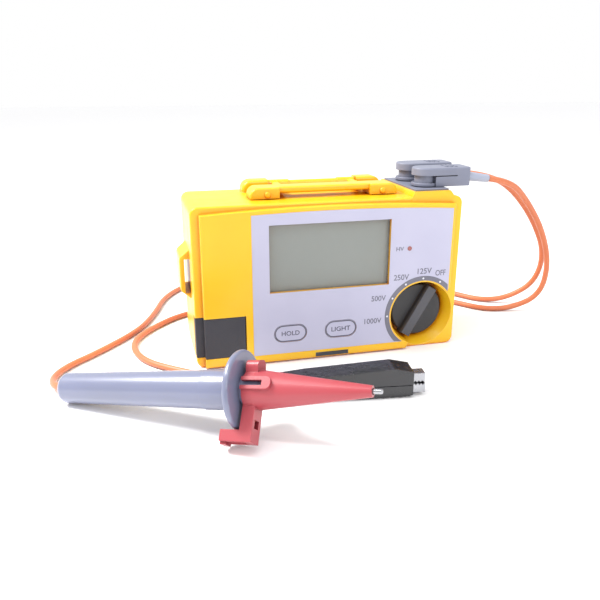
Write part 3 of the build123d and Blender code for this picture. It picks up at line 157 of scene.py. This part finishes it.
def surface(name, base, shade, wear, rough=(0.36, 0.52), grain=1400.0, depth=0.00004,
            mottle=28.0, edge=0.0003, worn=0.5, metallic=0.0, coat=0.0, sheen=0.0,
            painted_crevice_shade=None, subsurface=0.0):
    """A moulded, cast or drawn surface: slow colour drift, fine grain in the bump and the
    roughness, softened edges with a little wear, and painted shade, darker in the crevices."""
    s = Shader(name)
    colour = s.mix(s.ramp(s.noise(mottle, 4.0), 0.0, 1.0), base, shade)
    # Painted shade: where ambient occlusion finds nearby surfaces, the colour is mixed toward a
    # darker one.
    if painted_crevice_shade:
        ao = s.add("ShaderNodeAmbientOcclusion", samples=6)
        ao.inputs["Distance"].default_value = PAINTED_SHADE_REACH
        colour = s.mix(s.ramp(ao.outputs["AO"], 1.0, 0.0, at=(0.15, 0.85)), colour, painted_crevice_shade)
    normal, mask = s.edges(edge)
    scuffs = s.ramp(s.noise(SCUFF_SCALE, 6.0), 0.1, 1.0, at=(0.35, 0.7))
    colour = s.mix(s.times(s.times(mask, scuffs), worn), colour, wear)
    s.link(colour, s.bsdf.inputs["Base Color"])
    fine = s.noise(grain, 2.0)
    gloss = s.ramp(s.noise(GLOSS_SCALE, 5.0), rough[0], rough[1], at=(0.1, 0.9))
    s.link(gloss, s.bsdf.inputs["Roughness"])
    s.link(s.bump(fine, depth, normal), s.bsdf.inputs["Normal"])
    s.bsdf.inputs["Metallic"].default_value = metallic
    s.bsdf.inputs["Coat Weight"].default_value = coat
    s.bsdf.inputs["Coat Roughness"].default_value = COAT_ROUGHNESS
    s.bsdf.inputs["Sheen Weight"].default_value = sheen
    if subsurface:
        s.bsdf.inputs["Subsurface Weight"].default_value = subsurface
        s.bsdf.inputs["Subsurface Radius"].default_value = SKIN_RADIUS
    return s


def clear(name, tint, alpha, rough):
    """Clear moulded sheet: mostly see-through, with faint smears in its gloss."""
    s = Shader(name)
    deeper = tuple(c * 0.96 for c in tint[:3]) + (1.0,)
    s.link(s.mix(s.ramp(s.noise(30.0), 0.0, 1.0), tint, deeper), s.bsdf.inputs["Base Color"])
    s.link(s.ramp(s.noise(60.0, 5.0), rough, rough + 0.06), s.bsdf.inputs["Roughness"])
    s.link(s.bump(s.noise(120.0), WINDOW_BUMP), s.bsdf.inputs["Normal"])
    s.bsdf.inputs["Alpha"].default_value = alpha
    return s


# The yellow shell's painted shade: a saturated orange painted into its seams and recesses.
YELLOW = dict(shade=srgb(254, 196, 10), wear=srgb(255, 230, 120), painted_crevice_shade=srgb(232, 124, 6))
yellow = surface("yellow_shell", srgb(255, 202, 14), rough=(0.28, 0.42), depth=0.00003, coat=0.12,
                 edge=0.0007, subsurface=0.08, **YELLOW)
label = surface("label_film", srgb(196, 195, 218), srgb(191, 190, 214), srgb(235, 234, 245),
                rough=(0.42, 0.5), grain=2600.0, depth=0.000012, edge=0.0001, worn=0.3)
caps = surface("key_caps", srgb(195, 194, 217), srgb(190, 189, 213), srgb(235, 234, 245),
               rough=(0.44, 0.56), grain=2200.0, depth=0.00002, edge=0.00025)
glass = clear("clear_window", srgb(238, 244, 242), 0.1, 0.04)
# Painted shade: the display goes darker at its recessed edges, under the frame.
display = surface("display", srgb(160, 168, 171), srgb(153, 161, 165), srgb(162, 168, 170),
                  rough=(0.3, 0.36), grain=3000.0, depth=0.00000002, mottle=8.0, worn=0.0,
                  painted_crevice_shade=srgb(120, 124, 118))
dark = surface("dark_plastic", srgb(66, 66, 74), srgb(54, 54, 60), srgb(110, 110, 118),
               rough=(0.42, 0.6), grain=1700.0, depth=0.00006, worn=0.45)
key_black = surface("charcoal_key", srgb(58, 58, 66), srgb(50, 50, 58), srgb(104, 104, 114),
                    rough=(0.46, 0.6), grain=1500.0, depth=0.00008, worn=0.5)
# Painted shade: the plug plastic goes darker in its recesses.
plug_grey = surface("plug_grey", srgb(134, 138, 157), srgb(124, 128, 148), srgb(188, 190, 204),
                    rough=(0.4, 0.55), grain=1300.0, depth=0.00006, painted_crevice_shade=srgb(84, 86, 104))
# Painted shade: the strain reliefs go darker in their recesses.
relief_grey = surface("relief_grey", srgb(178, 184, 202), srgb(166, 172, 192), srgb(214, 218, 230),
                      rough=(0.38, 0.5), painted_crevice_shade=srgb(120, 122, 142))
# Painted shade: the probe goes darker in its creases and recesses.
probe_grey = surface("probe_grey", srgb(123, 128, 154), srgb(128, 133, 162), srgb(178, 182, 206),
                     rough=(0.26, 0.36), grain=1200.0, depth=0.00003, mottle=20.0,
                     painted_crevice_shade=srgb(116, 118, 148), subsurface=0.05, coat=0.6)
# Painted shade: the cover goes a deeper red in its recesses.
red = surface("red_plastic", srgb(182, 72, 82), srgb(182, 64, 74), srgb(224, 130, 136),
              rough=(0.36, 0.5), grain=1300.0, depth=0.00004, painted_crevice_shade=srgb(140, 36, 48),
              coat=0.15, subsurface=0.06)
lens = surface("red_lens", srgb(168, 96, 92), srgb(146, 74, 70), srgb(200, 130, 126),
               rough=(0.14, 0.22), depth=0.000008, coat=0.5)
boot = surface("black_boot", srgb(17, 17, 22), srgb(20, 20, 27), srgb(64, 64, 76),
               rough=(0.2, 0.34), grain=260.0, depth=0.0003, mottle=60.0, edge=0.0012, coat=0.3)
# Painted shade: the lead goes darker where it lies close to other surfaces.
lead = surface("orange_lead", srgb(226, 132, 86), srgb(218, 118, 74), srgb(240, 168, 128),
               rough=(0.38, 0.5), grain=2000.0, depth=0.00003, painted_crevice_shade=srgb(166, 78, 44),
               subsurface=0.06, sheen=0.08)
steel = surface("plated_steel", srgb(196, 197, 200), srgb(176, 177, 182), srgb(228, 228, 230),
                rough=(0.2, 0.38), grain=2400.0, depth=0.00002, metallic=1.0)
drawn = surface("drawn_wire", srgb(186, 187, 190), srgb(160, 160, 166), srgb(222, 222, 224),
                rough=(0.24, 0.4), grain=3000.0, depth=0.00002, metallic=1.0, edge=0.0001)
brass = surface("contact_brass", srgb(204, 170, 98), srgb(178, 142, 74), srgb(232, 206, 146),
                rough=(0.22, 0.4), grain=2000.0, depth=0.00002, metallic=1.0)
board = surface("circuit_board", srgb(28, 92, 54), srgb(20, 74, 42), srgb(150, 150, 96),
                rough=(0.3, 0.42), grain=900.0, depth=0.00002)
parts_black = surface("component_case", srgb(40, 40, 42), srgb(32, 32, 34), srgb(78, 78, 80),
                      rough=(0.5, 0.66), grain=1800.0, depth=0.00004)
cells = surface("cell_sleeve", srgb(84, 90, 104), srgb(70, 76, 90), srgb(150, 152, 160),
                rough=(0.2, 0.32), grain=900.0, depth=0.00001, coat=0.3)
rubber = surface("seal_rubber", srgb(46, 46, 48), srgb(38, 38, 40), srgb(70, 70, 72),
                 rough=(0.6, 0.75), grain=1200.0, depth=0.00006, sheen=0.1)
ink = surface("grey_ink", srgb(120, 120, 134), srgb(112, 112, 126), srgb(134, 134, 146),
              rough=(0.45, 0.55), grain=2600.0, depth=0.000008, worn=0.2)
ink_dark = surface("dark_ink", srgb(98, 98, 114), srgb(90, 90, 106), srgb(112, 112, 128),
                   rough=(0.45, 0.55), grain=2600.0, depth=0.000008, worn=0.2)
ink_white = surface("white_ink", srgb(240, 240, 246), srgb(228, 228, 236), srgb(250, 250, 252),
                    rough=(0.45, 0.55), grain=2600.0, depth=0.000008, worn=0.2)

# The knob is black, with its raised grip worn to a greyer face.
KNOB_CREST_Y = -0.0272
KNOB_CREST_FADE = 0.0008
knob = surface("knob_plastic", srgb(50, 50, 54), srgb(42, 42, 46), srgb(118, 118, 124),
               rough=(0.4, 0.56), grain=1600.0, depth=0.00005)
split = knob.add("ShaderNodeSeparateXYZ")
knob.link(knob.coords, split.inputs[0])
height = knob.ramp(split.outputs["Y"], 1.0, 0.0, at=(KNOB_CREST_Y - KNOB_CREST_FADE, KNOB_CREST_Y))
painted = knob.bsdf.inputs["Base Color"].links[0].from_socket
knob.link(knob.mix(height, painted, srgb(76, 76, 83)), knob.bsdf.inputs["Base Color"])

LOOKS = {
    yellow: ("front_shell", "rear_shell", "battery_cover", "carry_handle"),
    label: ("panel_label",),
    caps: ("hold_key", "light_key"),
    glass: ("lcd_window", "fuse"),
    display: ("lcd_glass",),
    dark: ("panel_catch",),
    knob: ("range_knob",),
    key_black: ("measure_key",),
    plug_grey: ("terminal_plate", "socket_insulators", "front_plug_body", "rear_plug_body"),
    relief_grey: ("front_plug_relief", "rear_plug_relief"),
    probe_grey: ("probe_handle", "probe_guard", "probe_nose"),
    red: ("probe_cover",),
    lens: ("hv_lamp",),
    boot: ("clip_lower_boot", "clip_upper_boot"),
    steel: ("case_screws", "knob_shaft", "detent_plate", "board_screws", "battery_contacts",
            "cover_screw", "handle_pin", "probe_tip", "clip_lower_jaw", "clip_upper_jaw", "clip_pin"),
    drawn: ("measure_spring", "clip_spring"),
    brass: ("board_spacers", "fuse_clips", "socket_sleeves", "front_plug_pin", "rear_plug_pin"),
    board: ("key_board", "main_board"),
    parts_black: ("lcd_frame", "rotary_switch", "measure_switch", "key_switches", "hv_transformer",
                  "hv_capacitors", "controller_chips", "buzzer"),
    cells: ("batteries",),
    rubber: ("case_gasket", "lcd_connector"),
}
for look, names in LOOKS.items():
    for name in names:
        nodes[name].data.materials.clear()
        nodes[name].data.materials.append(look.material)


# ---------------------------------------------------------------- mesh helpers
def mesh_object(name, vertices, faces, look, smooth=False):
    mesh = bpy.data.meshes.new(name)
    mesh.from_pydata(vertices, [], faces)
    mesh.validate()
    for polygon in mesh.polygons:
        polygon.use_smooth = smooth
    mesh.materials.append(look.material)
    obj = bpy.data.objects.new(name, mesh)
    scene.collection.objects.link(obj)
    return obj


PRINT_THICKNESS = 0.06
LABEL_FRONT_Y = -33.2
MERGE_DISTANCE = 1e-7
TYPE_SIZE = 0.005
TYPE_WEIGHT = 0.00005


def printed(name, outlines, look, body):
    """Flat closed shapes, each with its holes, printed on the front: a thin solid layer.
    outlines are lists of loops of (x, z) in mm, outer loop first."""
    curve = bpy.data.curves.new(name, "CURVE")
    curve.dimensions = "2D"
    curve.fill_mode = "BOTH"
    curve.extrude = PRINT_THICKNESS * MM
    for loop in outlines:
        spline = curve.splines.new("POLY")
        spline.points.add(len(loop) - 1)
        for point, (x, z) in zip(spline.points, loop):
            point.co = (x * MM, z * MM, 0.0, 1.0)
        spline.use_cyclic_u = True
    holder = bpy.data.objects.new(name + "_curve", curve)
    scene.collection.objects.link(holder)
    return stand_up(name, holder, look, body)


def stand_up(name, holder, look, body, size=None, centre=None):
    """The mesh of a flat curve or text, stood up on the front face."""
    bpy.context.view_layer.update()
    depsgraph = bpy.context.evaluated_depsgraph_get()
    mesh = bpy.data.meshes.new_from_object(holder.evaluated_get(depsgraph))
    data = holder.data
    bpy.data.objects.remove(holder)
    bpy.data.curves.remove(data)
    if size:
        xs = [v.co.x for v in mesh.vertices]
        ys = [v.co.y for v in mesh.vertices]
        wide = size[0] * MM / (max(xs) - min(xs))
        tall = size[1] * MM / (max(ys) - min(ys))
        for v in mesh.vertices:
            v.co.x = (v.co.x - (max(xs) + min(xs)) / 2) * wide + centre[0] * MM
            v.co.y = (v.co.y - (max(ys) + min(ys)) / 2) * tall + centre[1] * MM
    for v in mesh.vertices:
        v.co = Vector((v.co.x, LABEL_FRONT_Y * MM - v.co.z, v.co.y))
    work = bmesh.new()
    work.from_mesh(mesh)
    bmesh.ops.remove_doubles(work, verts=work.verts, dist=MERGE_DISTANCE)
    bmesh.ops.recalc_face_normals(work, faces=work.faces)
    work.to_mesh(mesh)
    work.free()
    mesh.materials.clear()
    mesh.materials.append(look.material)
    mesh.name = name
    obj = bpy.data.objects.new(name, mesh)
    scene.collection.objects.link(obj)
    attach(obj, body)
    return obj


def lettering(name, text, size, centre, look=None, body="root"):
    """Text of that width and height, centred at (x, z) on the front."""
    curve = bpy.data.curves.new(name, "FONT")
    curve.body = text
    curve.size = TYPE_SIZE
    curve.resolution_u = 4
    curve.extrude = PRINT_THICKNESS * MM
    curve.offset = TYPE_WEIGHT
    holder = bpy.data.objects.new(name + "_text", curve)
    scene.collection.objects.link(holder)
    return stand_up(name, holder, look or ink, body, size, centre)


def arc(centre, radius, start, end, count):
    """Points (x, z) on an arc, in degrees."""
    out = []
    for i in range(count):
        a = math.radians(start + (end - start) * i / (count - 1))
        out.append((centre[0] + radius * math.cos(a), centre[1] + radius * math.sin(a)))
    return out


def obround(centre, width, tall):
    """A loop with round ends."""
    half = (width - tall) / 2
    right = arc((centre[0] + half, centre[1]), tall / 2, -90, 90, 21)
    left = arc((centre[0] - half, centre[1]), tall / 2, 90, 270, 21)
    return right + left


# ---------------------------------------------------------------- printing on the front
KNOB_CENTRE = (59.4, 24.5)
BAND_OUTER = 25.1
BAND_INNER = 22.1
outer = arc(KNOB_CENTRE, BAND_OUTER, 46.5, 225.0, 61)
inner = arc(KNOB_CENTRE, BAND_INNER, 235.0, 37.5, 61)
printed("scale_band", [outer + inner], ink, "root")
DOT_RING_RADIUS = 23.5
DOT_RADIUS = 0.62
for index, angle in enumerate((60, 90, 120, 150, 180)):
    centre = arc(KNOB_CENTRE, DOT_RING_RADIUS, angle, angle + 1, 2)[0]
    loop = arc(centre, DOT_RADIUS, 0, 345, 24)
    dot = printed(f"scale_dot_{index}", [loop], ink_white, "root")
    dot.location.y -= PRINT_THICKNESS * MM

NUMBERS = (
    ("125V", (9.6, 3.7), (60.0, 52.9)),
    ("250V", (10.2, 3.7), (44.4, 49.8)),
    ("OFF", (7.0, 3.7), (71.0, 51.0)),
    ("500V", (9.6, 3.5), (29.7, 37.1)),
    ("1000V", (11.4, 3.5), (26.4, 22.3)),
    ("HV", (5.0, 2.6), (42.6, 68.2)),
)
for text, size, centre in NUMBERS:
    lettering("mark_" + text, text, size, centre)

KEYS = (("hold_key", "HOLD", -27.3, 11.4), ("light_key", "LIGHT", 5.15, 12.4))
KEY_Z = 19.2
for body, text, x, width in KEYS:
    ring = [obround((x, KEY_Z), 20.0, 10.6), obround((x, KEY_Z), 18.7, 9.3)]
    printed(body + "_ring", ring, ink_dark, body)
    lettering(body + "_mark", text, (width, 3.0), (x, KEY_Z), ink_dark, body)


# ---------------------------------------------------------------- leads
CLIP_ROUTE = [
    (110.1, -13, 106.4), (127, -13, 104.0), (146, -4, 90), (166, 2, 66), (178.5, 7, 38),
    (177, 11, 13), (158, 18, 2.1), (137, 21, 2.1), (123.5, 40, 2.1), (104, 62, 2.1),
    (68, 85, 2.1), (20, 90, 2.1), (-35, 82, 2.1), (-84, 68, 2.1), (-110, 42, 2.1),
    (-124, 16, 2.1), (-117, -14, 2.1), (-95, -35, 2.1), (-77, -48, 2.1), (-71, -64, 2.1),
    (-60.5, -79.0, 3.2), (-50.6, -80.3, 3.2),
]
PROBE_ROUTE = [
    (110.1, 13, 106.4), (127, 13, 104.0), (147, 16, 94), (168, 18, 71), (182.5, 19.5, 44),
    (180.5, 24, 19), (165, 35, 4.5), (147, 40, 2.1), (134, 57, 2.1), (122, 84, 2.1),
    (84, 122, 2.1), (32, 146, 2.1), (-24, 154, 2.1), (-70, 146, 2.1), (-96, 113, 2.1),
    (-106, 72, 2.1), (-118, 40, 2.1), (-144, 7, 2.1), (-163, -12, 2.1), (-169, -30, 3.2),
    (-164.6, -49.6, 6.9), (-158.9, -53.5, 8.0),
]
LEAD_RADIUS = 2.0 * MM
LEAD_SIDES = 20


def centreline(name, route):
    """The points of the route's own NURBS curve, in order, in metres."""
    curve = bpy.data.curves.new(name, "CURVE")
    curve.dimensions = "3D"
    curve.resolution_u = 16
    spline = curve.splines.new("NURBS")
    spline.points.add(len(route) - 1)
    for point, xyz in zip(spline.points, route):
        point.co = (xyz[0] * MM, xyz[1] * MM, xyz[2] * MM, 1.0)
    spline.order_u = 3
    spline.use_endpoint_u = True
    holder = bpy.data.objects.new(name, curve)
    scene.collection.objects.link(holder)
    bpy.context.view_layer.update()
    mesh = bpy.data.meshes.new_from_object(holder)
    points = [v.co.copy() for v in mesh.vertices]
    bpy.data.objects.remove(holder)
    bpy.data.curves.remove(curve)
    bpy.data.meshes.remove(mesh)
    return points


def tube(name, points, radius, look):
    """A round tube swept along the points without twist, closed at both ends."""
    vertices, faces = [], []
    side = None
    for i, p in enumerate(points):
        ahead = (points[min(i + 1, len(points) - 1)] - points[max(i - 1, 0)]).normalized()
        if side is None:
            side = ahead.cross(Vector((0, 1, 0))).normalized()
        side = (side - ahead * side.dot(ahead)).normalized()
        up = ahead.cross(side)
        for k in range(LEAD_SIDES):
            a = 2 * math.pi * k / LEAD_SIDES
            vertices.append(p + (side * math.cos(a) + up * math.sin(a)) * radius)
        if i:
            low = (i - 1) * LEAD_SIDES
            for k in range(LEAD_SIDES):
                n = (k + 1) % LEAD_SIDES
                faces.append((low + k, low + n, low + LEAD_SIDES + n, low + LEAD_SIDES + k))
    faces.append(tuple(reversed(range(LEAD_SIDES))))
    last = (len(points) - 1) * LEAD_SIDES
    faces.append(tuple(range(last, last + LEAD_SIDES)))
    return mesh_object(name, vertices, faces, look, smooth=True)


LEADS = (
    ("clip_lead_cord", "clip_lead", CLIP_ROUTE, "front_plug", 0.607, "connector",
     ("clip_lower_boot", "clip_upper_boot", "clip_lower_jaw", "clip_upper_jaw",
      "clip_pin", "clip_spring")),
    ("probe_lead_cord", "probe_lead", PROBE_ROUTE, "rear_plug", 0.658, "tool",
     ("probe_handle", "probe_guard", "probe_nose", "probe_tip", "probe_cover")),
)
for name, node, route, plug, length, end, on_it in LEADS:
    line = centreline(name + "_line", route)
    cord = tube(name, line, LEAD_RADIUS, lead)
    x, y, z = (value * MM for value in route[0])
    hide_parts(node)
    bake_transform(cord)

# ---------------------------------------------------------------- floor and light
FLOOR_HALF = 4.0
floor_look = surface("floor", srgb(253, 253, 254, 1.0), srgb(252, 252, 253, 1.0),
                     srgb(254, 254, 254, 1.0), rough=(0.6, 0.7), grain=300.0, depth=0.00001,
                     worn=0.0)
corners = [(x * FLOOR_HALF, y * FLOOR_HALF, 0) for x, y in ((-1, -1), (1, -1), (1, 1), (-1, 1))]
floor = mesh_object("floor", corners, [(0, 1, 2, 3)], floor_look)

world = bpy.data.worlds.new("studio")
world.use_nodes = True
world.node_tree.nodes["Background"].inputs["Color"].default_value = (1.0, 1.0, 1.0, 1.0)
world.node_tree.nodes["Background"].inputs["Strength"].default_value = 1.0
scene.world = world


def area_light(name, place, target, size, power, colour=(1.0, 1.0, 1.0)):
    data = bpy.data.lights.new(name, "AREA")
    data.shape = "DISK"
    data.size = size
    data.energy = power
    data.color = colour
    lamp = bpy.data.objects.new(name, data)
    scene.collection.objects.link(lamp)
    lamp.location = place
    direction = Vector(target) - Vector(place)
    lamp.rotation_euler = direction.to_track_quat("-Z", "Y").to_euler()
    return lamp


area_light("key", (-0.6, 0.15, 0.8), (0, 0, 0.05), 0.35, 14.0, (1.0, 0.99, 0.97))
area_light("fill", (0.35, -0.95, 0.6), (0, 0, 0.05), 0.4, 2.4)
strip = area_light("strip", (-0.15, -0.35, 0.75), (0, -0.05, 0.0), 1.0, 2.2)
strip.data.shape = "RECTANGLE"
strip.data.size = 0.9
strip.data.size_y = 0.05
